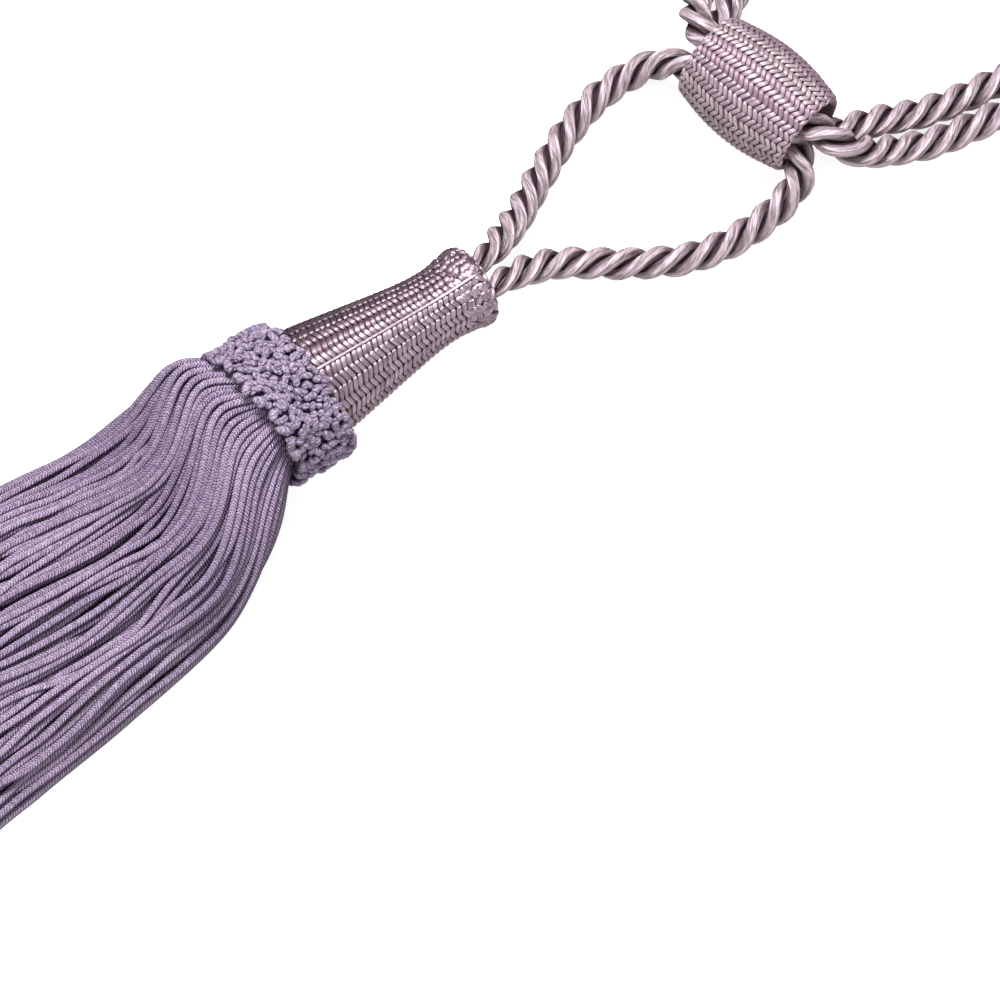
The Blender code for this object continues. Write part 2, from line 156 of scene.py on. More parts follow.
# The skirt. Each row is a section across its strands: its place along X, half width, middle, half
# height, how far it has settled on to the floor, and how far its top is swept sideways.
SKIRT_SECTIONS = (
    (-0.0050, 0.0155, 0.0004, 0.0155, 0.00, 0.00),
    (-0.0080, 0.0160, 0.0004, 0.0158, 0.00, 0.00),
    (-0.0105, 0.0186, 0.0002, 0.0168, 0.02, 0.06),
    (-0.0140, 0.0222, -0.0007, 0.0168, 0.05, 0.18),
    (-0.0180, 0.0249, -0.0016, 0.0158, 0.10, 0.15),
    (-0.0240, 0.0272, -0.0038, 0.0140, 0.35, -0.04),
    (-0.0300, 0.0284, -0.0055, 0.0124, 0.60, -0.19),
    (-0.0360, 0.0298, -0.0070, 0.0114, 0.80, -0.22),
    (-0.0480, 0.0314, -0.0088, 0.0104, 1.00, -0.12),
    (-0.0720, 0.0346, -0.0088, 0.0091, 1.00, -0.06),
    (-0.1040, 0.0378, -0.0108, 0.0081, 1.00, -0.05),
    (-0.1420, 0.0430, -0.0146, 0.0072, 1.00, -0.05),
)
STRAND_COUNT = 300
STRAND_STATIONS = 60
STATION_CROWDING = 1.25  # the power that draws the stations together near the ruff
STRAND_SIDES = 8
STRAND_RADIUS = 0.00103
ROOT_RADIUS = 0.00098
ROOT_ENDS = (0.008, 0.020)  # behind the origin, where a strand widens from its root's radius
STRAND_FLATNESS = 0.74
INNER_SHADE = 0.55  # painted shade: the share of the colour of the strands that lie within the skirt, in the others' shade
LATTICE_SHIFT = (0.05, 0.1)
LATTICE_REACH = 60
LOOSE_FROM = 0.0105  # behind the origin, where the strands begin to lie freely
LOOSE_OVER = 0.03
CLUMPS = 9  # from the skirt's middle to its side
CLUMP_LEAN = 0.5
CLUMP_WANDER = 0.6
CLUMP_DRAW = 2.3  # how strongly strands are drawn to their clump's middle
DRAW_SHARES = (0.6, 0.6, 1.2)  # of that draw along the skirt: its mean, its ripple and its most
SIDE_CALM = 0.8  # how much less the strands at the sides stray, to keep the outline
WEAVE = 0.0022  # how far neighbouring strands stray together
STRAY = 0.0011  # how far each strand strays alone
RELIEF = 0.10  # how far the skirt's height ripples
DIP = 0.0009  # how far a strand dips under its neighbours or rises over them
SKIRT_SEED = 2  # chosen for the photograph's outline
TIP_SPREAD = 0.0035  # how unevenly the tips end
EDGE_DRAW = 0.006  # how much sooner the outermost strands end
PRESSED = 0.83  # how close soft strands lie, as a share of their width
SETTLING_ROUNDS = 60
SETTLING_PUSH = 0.35
SETTLING_RETURN = 0.07  # towards where the strand would lie alone
SETTLING_STIFFNESS = 0.35
HELD_STATIONS = 3  # inside the ruff

# The rope, left-handed
ROPE_LAY = 0.0228
ROPE_STRANDS = 3
ROPE_STRAND_OFFSET = 0.00222
ROPE_STRAND_RADIUS = 0.00174
ROPE_STRAND_HEIGHT = 1.20  # of a strand's section, as a share of its width
ROPE_SIDES = 14
ROPE_STEPS_PER_TURN = 26
HEAD_ROPE_SHARE = 0.72  # how far the rope is squeezed inside the head
SQUEEZED_LENGTH = 0.014
RELEASED_LENGTH = 0.026
PASS_STARTS = (math.radians(210), math.radians(330), math.radians(90))
BUNDLE_TURN = math.radians(120)  # how far the three passes turn round each other in the bore
PASS_RADIUS = 0.0049
PASS_DROP = 0.0004
PASS_POINTS = 5
CURVE_SAMPLES = 16  # between two neighbouring points of the route

LEFT_STRAND = (
    (0.0650, 0.0078, 0.0151),
    (0.0725, 0.0116, 0.0115),
    (0.0802, 0.0162, 0.0072),
    (0.0883, 0.0216, 0.0047),
    (0.0948, 0.0254, 0.0041),
    (0.1022, 0.0294, 0.0041),
    (0.1095, 0.0326, 0.0041),
    (0.1173, 0.0350, 0.0041),
    (0.1245, 0.0357, 0.0045),
    (0.1328, 0.0339, 0.0074),
    (0.1372, 0.0307, 0.0096),
)
RIGHT_LOOP = (
    (0.1596, -0.0091, 0.0109),
    (0.1633, -0.0106, 0.0105),
    (0.1676, -0.0112, 0.0097),
    (0.1720, -0.0118, 0.0086),
    (0.1782, -0.0132, 0.0068),
    (0.1850, -0.0150, 0.0050),
    (0.1945, -0.0168, 0.0041),
    (0.2057, -0.0182, 0.0041),
    (0.2250, -0.0196, 0.0041),
    (0.2500, -0.0194, 0.0041),
    (0.2800, -0.0170, 0.0041),
    (0.3080, -0.0126, 0.0041),
    (0.3320, -0.0074, 0.0041),
    (0.3500, -0.0050, 0.0041),
    (0.3640, -0.0085, 0.0041),
    (0.3725, -0.0175, 0.0041),
    (0.3735, -0.0285, 0.0041),
    (0.3660, -0.0380, 0.0041),
    (0.3520, -0.0415, 0.0041),
    (0.3330, -0.0395, 0.0041),
    (0.3080, -0.0348, 0.0041),
    (0.2800, -0.0310, 0.0041),
    (0.2500, -0.0288, 0.0041),
    (0.2250, -0.0284, 0.0041),
    (0.2043, -0.0268, 0.0041),
    (0.1930, -0.0254, 0.0041),
    (0.1835, -0.0238, 0.0042),
    (0.1749, -0.0213, 0.0058),
    (0.1690, -0.0200, 0.0085),
    (0.1632, -0.0188, 0.0125),
    (0.1599, -0.0172, 0.0151),
    (0.1572, -0.0143, 0.0172),
    (0.1553, -0.0105, 0.0185),
)
TOP_LOOP = (
    (0.1502, 0.0294, 0.0114),
    (0.1519, 0.0318, 0.0106),
    (0.1557, 0.0340, 0.0100),
    (0.1596, 0.0362, 0.0094),
    (0.1633, 0.0387, 0.0087),
    (0.1700, 0.0437, 0.0066),
    (0.1815, 0.0496, 0.0043),
    (0.1980, 0.0530, 0.0041),
    (0.2220, 0.0526, 0.0041),
    (0.2500, 0.0492, 0.0041),
    (0.2800, 0.0440, 0.0041),
    (0.3050, 0.0386, 0.0041),
    (0.3250, 0.0350, 0.0041),
    (0.3410, 0.0356, 0.0041),
    (0.3525, 0.0435, 0.0041),
    (0.3545, 0.0555, 0.0041),
    (0.3470, 0.0660, 0.0041),
    (0.3330, 0.0696, 0.0041),
    (0.3130, 0.0672, 0.0041),
    (0.2850, 0.0636, 0.0041),
    (0.2550, 0.0618, 0.0041),
    (0.2260, 0.0624, 0.0041),
    (0.2000, 0.0622, 0.0041),
    (0.1790, 0.0590, 0.0046),
    (0.1680, 0.0530, 0.0064),
    (0.1580, 0.0452, 0.0101),
    (0.1547, 0.0427, 0.0122),
    (0.1517, 0.0401, 0.0145),
    (0.1490, 0.0370, 0.0166),
    (0.1469, 0.0333, 0.0182),
)
RIGHT_STRAND = (
    (0.1489, -0.0105, 0.0120),
    (0.1475, -0.0140, 0.0105),
    (0.1444, -0.0164, 0.0087),
    (0.1404, -0.0176, 0.0069),
    (0.1340, -0.0184, 0.0050),
    (0.1280, -0.0186, 0.0041),
    (0.1220, -0.0185, 0.0041),
    (0.1158, -0.0176, 0.0041),
    (0.1095, -0.0158, 0.0041),
    (0.1023, -0.0121, 0.0041),
    (0.0948, -0.0076, 0.0041),
    (0.0882, -0.0032, 0.0044),
    (0.0810, 0.0002, 0.0064),
    (0.0727, 0.0012, 0.0100),
    (0.0650, 0.0006, 0.0136),
)
HEAD_ROPE_OFFSET = 0.0032
HEAD_ROPE_ENDS = (0.0480, 0.0555)

# Colours and patterns
# The darkest mauve and lilac are painted shade, on the yarns' inward sides and in their hollows,
# and also the dark end of their grain.
PAINTED_SHADE_MAUVE = (0.105, 0.052, 0.075)
ROSE_LILAC = (0.585, 0.425, 0.585)
BLUE_LILAC = (0.485, 0.405, 0.585)
PAINTED_SHADE_LILAC = (0.080, 0.032, 0.118)
RUFF_LILAC = (0.47, 0.375, 0.51)
HEAD_SHADOW = (0.120, 0.070, 0.095)
BARREL_SHADOW = (0.27, 0.18, 0.225)
RUFF_SHADOW = (0.055, 0.018, 0.085)
SHADOW_DEPTH = 0.6  # of a shadow's colour in its darkest spots
SHADOW_GRAIN = 900.0
TINT_POWER = 2.0  # makes a braid's pale columns fewer
CHAIN_FOLDS = 4.0  # rows of ridges round a chainette strand, each slanted against the next
CHAIN_SLANT = 1.5
CHAIN_PER_MM = 1.35
CHAIN_GROOVE = (0.74, 0.55)  # where the groove between rows starts, and its height, which also darkens it as painted shade
PAINTED_SHADE_MM = 80  # the length along the skirt over which its painted shade changes
PAINTED_SHADE_STOPS = ((0.15, 0.80), (0.42, 0.60), (0.85, 0.85))  # place and share of the full colour; the painted shade is darkest in the bend, where the skirt falls away
MM = 1000


def unit(vectors):
    return vectors / np.linalg.norm(vectors, axis=-1, keepdims=True)


# Meshes


def mesh_of(name, points, faces, uv):
    """A smooth mesh of quads, with one pair of surface coordinates for each corner."""
    mesh = bpy.data.meshes.new(name)
    mesh.vertices.add(len(points))
    mesh.vertices.foreach_set("co", points.astype(np.float32).ravel())
    mesh.loops.add(faces.size)
    mesh.loops.foreach_set("vertex_index", faces.astype(np.int32).ravel())
    mesh.polygons.add(len(faces))
    mesh.polygons.foreach_set("loop_start", np.arange(0, faces.size, 4, dtype=np.int32))
    layer = mesh.uv_layers.new(name="yarn")
    layer.uv.foreach_set("vector", uv.astype(np.float32).ravel())
    mesh.update(calc_edges=True)
    mesh.shade_smooth()
    return mesh


def carried_normals(paths, tangents):
    """Normals that turn as little as they can along each path."""
    normals = np.empty_like(paths)
    upright = np.cross(tangents[:, 0], (0.0, 0.0, 1.0))
    normals[:, 0] = unit(upright + 1e-9)
    for step in range(1, paths.shape[1]):
        last, tangent = normals[:, step - 1], tangents[:, step]
        normals[:, step] = unit(last - (last * tangent).sum(-1, keepdims=True) * tangent)
    return normals


def tubes_mesh(name, paths, radii, sides, normals=None, flatness=1.0):
    """Closed tubes along paths (tube, step, xyz), as one mesh.

    radii is (tube, step). flatness is the height along the normals as a share of the width. The
    surface coordinates are the tube's number plus the share of a turn, and millimetres along.
    """
    count, steps = paths.shape[:2]
    tangents = unit(np.gradient(paths, axis=1))
    if normals is None:
        normals = carried_normals(paths, tangents)
    normals = unit(normals - (normals * tangents).sum(-1, keepdims=True) * tangents)
    across = unit(np.cross(tangents, normals))
    angles = np.arange(sides) * math.tau / sides
    ring = (
        np.cos(angles)[:, None] * across[:, :, None, :]
        + flatness * np.sin(angles)[:, None] * normals[:, :, None, :]
    )
    points = paths[:, :, None, :] + radii[:, :, None, None] * ring
    number = np.arange(count * steps * sides).reshape(count, steps, sides)
    near, far = number[:, :-1], number[:, 1:]
    faces = np.stack([near, np.roll(near, -1, 2), np.roll(far, -1, 2), far], axis=-1)
    lengths = np.linalg.norm(np.diff(paths, axis=1), axis=2)
    along = np.concatenate([np.zeros((count, 1)), np.cumsum(lengths, axis=1)], axis=1) * MM
    turn = np.arange(count)[:, None, None] + np.arange(sides) / sides
    near_turn = np.broadcast_to(turn, (count, steps - 1, sides))
    far_turn = near_turn + 1 / sides
    here = np.broadcast_to(along[:, :-1, None], near_turn.shape)
    there = np.broadcast_to(along[:, 1:, None], near_turn.shape)
    uv = np.stack(
        [
            np.stack([near_turn, here], -1),
            np.stack([far_turn, here], -1),
            np.stack([far_turn, there], -1),
            np.stack([near_turn, there], -1),
        ],
        axis=-2,
    )
    return mesh_of(name, points.reshape(-1, 3), faces.reshape(-1, 4), uv)


def pinched(radii, steps):
    """The same radii, closed over the first and last steps."""
    closed = radii.copy()
    shares = np.sin(np.linspace(0.05, 1, steps + 1)[:-1] * math.pi / 2)
    closed[:, :steps] *= shares
    closed[:, -steps:] *= shares[::-1]
    return closed


def turned_mesh(name, profile, steps):
    """An open profile of (distance along X, radius) points, spun round the X axis."""
    angles = np.arange(steps) * math.tau / steps
    profile = np.array(profile)
    along = np.broadcast_to(profile[:, 0, None], (len(profile), steps))
    points = np.stack(
        [along, profile[:, 1, None] * np.cos(angles), profile[:, 1, None] * np.sin(angles)], -1
    )
    number = np.arange(len(profile) * steps).reshape(len(profile), steps)
    near, far = number[:-1], number[1:]
    faces = np.stack([near, np.roll(near, -1, 1), np.roll(far, -1, 1), far], -1).reshape(-1, 4)
    flat = points.reshape(-1, 3)
    uv = flat[faces][:, :, :2] * MM
    return mesh_of(name, flat, faces, uv)


def rest_flat(mesh):
    """Lifts to the floor what would reach under it."""
    for vertex in mesh.vertices:
        vertex.co.z = max(0, vertex.co.z)


def add_piece(name, mesh, material, node):
    """A piece that rides on the root and stands for a node."""
    piece = bpy.data.objects.new(name, mesh)
    bpy.context.scene.collection.objects.link(piece)
    mesh.materials.append(material)
    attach(piece, "root")
    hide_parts(node)
    return piece


# Curves


def smooth_line(points, spacing):
    """A centripetal Catmull-Rom curve through the points, at an even spacing."""
    places = [2 * points[0] - points[1], *points, 2 * points[-1] - points[-2]]
    knots = [0.0]
    for first, second in zip(places, places[1:]):
        knots.append(knots[-1] + math.sqrt((second - first).length))
    fine = []
    for i in range(1, len(places) - 2):
        for t in np.linspace(knots[i], knots[i + 1], CURVE_SAMPLES, endpoint=False):
            level = places[i - 1 : i + 3]
            for span in (1, 2, 3):
                level = [
                    blend_points(level[k], level[k + 1], *blend_knots(knots, i, k, span), t)
                    for k in range(len(level) - 1)
                ]
            fine.append(level[0])
    fine.append(points[-1])
    return evenly_spaced(fine, spacing)


def blend_knots(knots, i, k, span):
    """The two knots that one blend of the Catmull-Rom scheme runs between."""
    if span == 3:
        return knots[i], knots[i + 1]
    return knots[i - 1 + k], knots[i - 1 + k + span]


def blend_points(first, second, start, end, t):
    return first.lerp(second, (t - start) / (end - start))


def evenly_spaced(line, spacing):
    places = np.array([tuple(place) for place in line])
    run = np.concatenate([[0], np.cumsum(np.linalg.norm(np.diff(places, axis=0), axis=1))])
    at = np.linspace(0, run[-1], round(run[-1] / spacing) + 1)
    return np.stack([np.interp(at, run, places[:, axis]) for axis in range(3)], axis=1), at


def smooth_columns(table, at):
    """Each column of a table but its first, the place, on smooth curves between its rows."""
    rows = np.array(table)
    places, values = rows[:, 0], rows[:, 1:]
    slopes = np.gradient(values, places, axis=0)
    low = np.clip(np.searchsorted(-places, -at) - 1, 0, len(places) - 2)
    step = (places[low + 1] - places[low])[:, None]
    t = (at - places[low])[:, None] / step
    return (
        (2 * t**3 - 3 * t**2 + 1) * values[low]
        + (t**3 - 2 * t**2 + t) * step * slopes[low]
        + (3 * t**2 - 2 * t**3) * values[low + 1]
        + (t**3 - t**2) * step * slopes[low + 1]
    )


# Materials


@dataclass(frozen=True)
class Satin:
    """One kind of shiny yarn."""

    light: tuple
    painted_shade: tuple  # the colour painted on its sides, which face its neighbours, as their shade; also the dark end of its fibres
    shading: tuple  # painted shade, from that colour to the light one between these heights: -1 its inner side, 1 its outer
    metal: float  # gives satin its strong, tinted highlights
    roughness: float = 0.54
    stretch: float = 0.8  # of its highlights, across its fibres
    fibres: tuple = (9.0, 0.5)  # how many go round it, and their breaks in each millimetre
    own: float = 0.35  # how far single yarns differ
    pale: tuple = None  # the colour of a braid's palest columns: their yarns' own tone, and partly a painted highlight
    tints: int = 0  # the seed of the columns' colours, which also sets where the pale ones paint a highlight


HEAD_SATIN = Satin(
    light=(0.45, 0.335, 0.40),
    painted_shade=PAINTED_SHADE_MAUVE,
    shading=(-0.3, 0.8),
    metal=0.88,
    pale=(0.70, 0.57, 0.64),
    tints=837,
)
# The seam's pale colour is a painted highlight.
SEAM_HIGHLIGHT_SATIN = Satin(
    light=(0.85, 0.70, 0.80),
    painted_shade=PAINTED_SHADE_MAUVE,
    shading=(-0.5, 0.6),
    metal=0.88,
)
# Painted highlight and shade, partly: the tints seed puts the barrel's pale columns up its middle,
# where its highlight falls, and darker ones on one flank.
BARREL_SATIN = Satin(
    light=(0.43, 0.295, 0.375),
    painted_shade=(0.19, 0.108, 0.145),
    shading=(-0.9, 0.4),
    metal=0.5,
    roughness=0.6,
    pale=(0.66, 0.535, 0.575),
    tints=4148,
)
# The rope's pale light colour is a painted highlight along each strand's crest, and its near-black
# colour painted shade in the hollows between the strands.
ROPE_SATIN = Satin(
    light=(0.80, 0.63, 0.705),
    painted_shade=(0.038, 0.015, 0.026),
    shading=(-0.15, 1.0),
    metal=0.15,
    roughness=0.5,
    stretch=0.3,
    fibres=(18.0, 0.3),
    own=0.0,
)


def add_node(tree, kind, **inputs):
    """A shader node with its sockets set or, for another node's output, linked.

    An input is called by its name, with _ for a space, or by _ and its number.
    """
    node = tree.nodes.new(kind)
    for name, value in inputs.items():
        called = int(name[1:]) if name[1:].isdigit() else name.replace("_", " ")
        if isinstance(value, bpy.types.NodeSocket):
            tree.links.new(value, node.inputs[called])
        else:
            node.inputs[called].default_value = value
    return node


def calculate(tree, operation, *values):
    node = add_node(tree, "ShaderNodeMath", **{f"_{i}": value for i, value in enumerate(values)})
    node.operation = operation
    return node.outputs[0]


def weighted(tree, start, *parts):
    """The sum of a start and of some (value, weight) pairs."""
    total = start
    for value, weight in parts:
        total = calculate(tree, "MULTIPLY_ADD", value, weight, total)
    return total


def rise(tree, value, start, end, low=0.0, high=1.0):
    """low up to the start and high from the end on, with a smooth rise between them."""
    ramp = add_node(tree, "ShaderNodeMapRange", Value=value, From_Min=start, From_Max=end)
    ramp.inputs["To Min"].default_value = low
    ramp.inputs["To Max"].default_value = high
    ramp.interpolation_type = "SMOOTHSTEP"
    return ramp.outputs["Result"]


def mix_colours(tree, share, first, second):
    node = tree.nodes.new("ShaderNodeMix")
    node.data_type = "RGBA"
    tree.links.new(share, node.inputs["Factor"])
    for socket, colour in zip(node.inputs[6:8], (first, second)):  # the colours among its inputs
        if isinstance(colour, bpy.types.NodeSocket):
            tree.links.new(colour, socket)
        else:
            socket.default_value = (*colour, 1)
    return node.outputs[2]


def yarn_noise(tree, turns, along, detail=2.0):
    """Noise over the yarn's surface: its frequency round the yarn and along each millimetre."""
    place = add_node(tree, "ShaderNodeUVMap")
    place.uv_map = "yarn"
    scaled = add_node(tree, "ShaderNodeMapping", Vector=place.outputs[0], Scale=(turns, along, 1))
    noise = add_node(tree, "ShaderNodeTexNoise", Vector=scaled.outputs[0], Scale=1.0, Detail=detail)
    return noise.outputs["Fac"]


def yarn_parts(tree):
    """The yarn's own number, the share of a turn round it, and the millimetres along it."""
    place = add_node(tree, "ShaderNodeUVMap")
    place.uv_map = "yarn"
    parts = add_node(tree, "ShaderNodeSeparateXYZ", Vector=place.outputs[0])
    number = calculate(tree, "FLOOR", parts.outputs[0])
    return number, calculate(tree, "FRACT", parts.outputs[0]), parts.outputs[1]


def principled(name, roughness, **settings):
    """A material of one shader, with settings called as add_node's inputs are."""
    material = bpy.data.materials.new(name)
    material.use_nodes = True
    shader = material.node_tree.nodes["Principled BSDF"]
    shader.inputs["Roughness"].default_value = roughness
    for socket, value in settings.items():
        shader.inputs[socket.replace("_", " ")].default_value = value
    return material, material.node_tree, shader


def add_bump(tree, shader, height, distance):
    bump = add_node(tree, "ShaderNodeBump", Height=height, Strength=1.0, Distance=distance)
    tree.links.new(bump.outputs[0], shader.inputs["Normal"])


def unshaded_share(tree, turn, start, end):
    """Painted shade: 0 on the side of a yarn that faces inwards, where its neighbours shade it, 1
    on the side that faces out.
    """
    height = calculate(tree, "SINE", calculate(tree, "MULTIPLY", turn, math.tau))
    return rise(tree, height, start, end)


def own_shade(tree, number):
    """A random share for each number."""
    own = add_node(tree, "ShaderNodeTexWhiteNoise")
    own.noise_dimensions = "1D"
    tree.links.new(number, own.inputs["W"])
    return own.outputs["Value"]


def ridges(tree, turn, along, around, per_mm):
    """Rounded ridges that wind round the yarn: 1 on each crest, 0 in the sharp valleys."""
    lay = weighted(tree, calculate(tree, "MULTIPLY", turn, around), (along, per_mm))
    wave = calculate(tree, "SINE", calculate(tree, "MULTIPLY", lay, math.pi))
    return calculate(tree, "ABSOLUTE", wave)


def painted_shade_along(tree, along):
    """Painted shade along the skirt, as a share of its colour: darkest in its bend, where it falls
    away from the light.
    """
    ramp = add_node(tree, "ShaderNodeValToRGB", Fac=calculate(tree, "DIVIDE", along, PAINTED_SHADE_MM))
    ramp.color_ramp.interpolation = "EASE"
    stops = ramp.color_ramp.elements
    for place, _ in PAINTED_SHADE_STOPS[1:-1]:
        stops.new(place)
    for stop, (place, share) in zip(stops, PAINTED_SHADE_STOPS):
        stop.position = place
        stop.color = (share, share, share, 1)
    return ramp.outputs[0]


def satin_material(name, satin, column=1):
    """Shiny yarn, whose fine lengthwise fibres stretch its highlights across it.

    column is how many yarns lie in each column of a braid, and share one colour.
    """
    material, tree, shader = principled(
        name,
        satin.roughness,
        Anisotropic=satin.stretch,
        Specular_IOR_Level=0.8,
        Metallic=satin.metal,
    )
    tangent = add_node(tree, "ShaderNodeTangent")
    tangent.direction_type = "UV_MAP"
    tangent.uv_map = "yarn"
    tree.links.new(tangent.outputs[0], shader.inputs["Tangent"])
    number, turn, _ = yarn_parts(tree)
    fibres = yarn_noise(tree, *satin.fibres)
    shade = weighted(tree, -0.25, (fibres, 1.6), (own_shade(tree, number), satin.own))
    # Painted shade on the yarn's inward sides.
    shade = calculate(tree, "MULTIPLY", shade, unshaded_share(tree, turn, *satin.shading))
    light = satin.light
    # The pale columns are partly a painted highlight.
    if satin.pale:
        columns = calculate(tree, "FLOOR", calculate(tree, "DIVIDE", number, column))
        share = own_shade(tree, calculate(tree, "ADD", columns, satin.tints))
        light = mix_colours(tree, calculate(tree, "POWER", share, TINT_POWER), light, satin.pale)
    tree.links.new(mix_colours(tree, shade, satin.painted_shade, light), shader.inputs["Base Color"])
    return material, tree, shader, fibres


def braid_material(name, satin, column=1):
    material, tree, shader, fibres = satin_material(name, satin, column)
    add_bump(tree, shader, fibres, 0.00022)
    return material


def rope_material():
    """Satin yarn in slanted plies, wrapped round each of the rope's strands."""
    material, tree, shader, fibres = satin_material("rope_satin_yarn", ROPE_SATIN)
    _, turn, along = yarn_parts(tree)
    plies = ridges(tree, turn, along, 7.0, 0.12)
    add_bump(tree, shader, weighted(tree, plies, (fibres, 1.2)), 0.00042)
    return material


def chain_material(name, shade_share):
    """Chainette cord: rows of ridges along it, each slanted against the next."""
    material, tree, shader = principled(name, 0.36, Specular_IOR_Level=0.9)
    number, turn, along = yarn_parts(tree)
    fold = calculate(tree, "PINGPONG", calculate(tree, "MULTIPLY", turn, CHAIN_FOLDS), 1.0)
    uneven = weighted(tree, along, (yarn_noise(tree, 0.9, 0.35), 1.2))
    start, depth = CHAIN_GROOVE
    groove = rise(tree, fold, start, 1.0, 1.0, depth)
    ridge = ridges(tree, fold, uneven, CHAIN_SLANT, CHAIN_PER_MM)
    ridge = calculate(tree, "MULTIPLY", ridge, groove)
    fuzz = yarn_noise(tree, 11.0, 4.5)
    speckle = yarn_noise(tree, 3.0, 1.1)
    own = own_shade(tree, number)
    # Painted shade: darker in the valleys between ridges and in the groove between rows, on the
    # strand's inward sides, along the skirt's bend and, by shade_share, on the inner strands; fuzz,
    # speckle and own are its grain.
    shade = weighted(tree, -1.15, (fuzz, 1.3), (ridge, 0.75), (own, 0.35), (speckle, 1.4))
    for share in (unshaded_share(tree, turn, 0.15, 0.92), painted_shade_along(tree, along), shade_share):
        shade = calculate(tree, "MULTIPLY", shade, share)
    tint = mix_colours(tree, yarn_noise(tree, 0.37, 0.03), ROSE_LILAC, BLUE_LILAC)
    tree.links.new(mix_colours(tree, shade, PAINTED_SHADE_LILAC, tint), shader.inputs["Base Color"])
    add_bump(tree, shader, weighted(tree, ridge, (fuzz, 0.8)), 0.00036)
    return material


def knot_material():
    """Crochet cord, whose plies wind along it."""
    material, tree, shader = principled("ruff_cord", 0.5, Sheen_Weight=0.15, Sheen_Roughness=0.5)
    number, turn, along = yarn_parts(tree)
    plies = ridges(tree, turn, along, 5.0, 1.1)
    fuzz = yarn_noise(tree, 7.0, 3.0, detail=4.0)
    # Painted shade in the grooves between plies and on the cord's inward side; fuzz and own are its
    # grain.
    shade = weighted(tree, -0.85, (fuzz, 2.2), (plies, 0.35), (own_shade(tree, number), 0.25))
    shade = calculate(tree, "MULTIPLY", shade, unshaded_share(tree, turn, -0.1, 0.95))
    tree.links.new(mix_colours(tree, shade, PAINTED_SHADE_LILAC, RUFF_LILAC), shader.inputs["Base Color"])
    add_bump(tree, shader, weighted(tree, 0.0, (plies, 0.7), (fuzz, 2.4)), 0.00040)
    return material


def painted_shadow_material(name, colour):
    """Painted shadow: a dark form that shows only between yarns, where their shade falls."""
    material, tree, shader = principled(name, 0.9)
    noise = add_node(tree, "ShaderNodeTexNoise", Scale=SHADOW_GRAIN, Detail=2.0)
    dark = tuple(channel * SHADOW_DEPTH for channel in colour)
    mixed = mix_colours(tree, noise.outputs["Fac"], dark, colour)
    tree.links.new(mixed, shader.inputs["Base Color"])
    return material


# The rope


def bore_pass(number):
    """One of the three passes through the barrel, from its left end to its right."""
    turn = Matrix.Rotation(BARREL_TURN, 3, "Z")
    route = []
    for step in range(PASS_POINTS):
        share = step / (PASS_POINTS - 1)
        angle = PASS_STARTS[number] + BUNDLE_TURN * share
        offset = Vector(
            (
                BARREL_HALF_LENGTH * (2 * share - 1),
                PASS_RADIUS * math.cos(angle),
                PASS_RADIUS * math.sin(angle) - PASS_DROP,
            )
        )
        route.append(BARREL_CENTRE + turn @ offset)
    return route


def rope_route():
    """The rope's own points, from its left end in the head to its right end there."""
    left_end, right_end = (
        [TASSEL_AXIS @ Vector((along, side * HEAD_ROPE_OFFSET, 0)) for along in HEAD_ROPE_ENDS]
        for side in (1, -1)
    )
    left_strand, right_loop, top_loop, right_strand = (
        [Vector(place) for place in run]
        for run in (LEFT_STRAND, RIGHT_LOOP, TOP_LOOP, RIGHT_STRAND)
    )
    return [
        *left_end,
        *left_strand,
        *bore_pass(0),
        *right_loop,
        *reversed(bore_pass(1)),
        *top_loop,
        *bore_pass(2),
        *right_strand,
        *reversed(right_end),
    ]


def add_rope(material):
    line, run = smooth_line(rope_route(), ROPE_LAY / ROPE_STEPS_PER_TURN)
    tangents = unit(np.gradient(line, axis=0))
    normals = carried_normals(line[None], tangents[None])[0]
    sideways = np.cross(tangents, normals)
    from_end = np.minimum(run, run[-1] - run)
    released = np.clip((from_end - SQUEEZED_LENGTH) / (RELEASED_LENGTH - SQUEEZED_LENGTH), 0, 1)
    share = HEAD_ROPE_SHARE + (1 - HEAD_ROPE_SHARE) * released
    starts = math.tau * np.arange(ROPE_STRANDS)[:, None] / ROPE_STRANDS
    angles = starts - math.tau * run / ROPE_LAY
    outward = np.cos(angles)[..., None] * normals + np.sin(angles)[..., None] * sideways
    paths = line + (ROPE_STRAND_OFFSET * share)[:, None] * outward
    radii = pinched(np.broadcast_to(ROPE_STRAND_RADIUS * share, paths.shape[:2]), 3)
    mesh = tubes_mesh("rope_strands", paths, radii, ROPE_SIDES, outward, ROPE_STRAND_HEIGHT)
    rest_flat(mesh)
    rope = add_piece("rope_strands", mesh, material, "rope")


# The braided covers


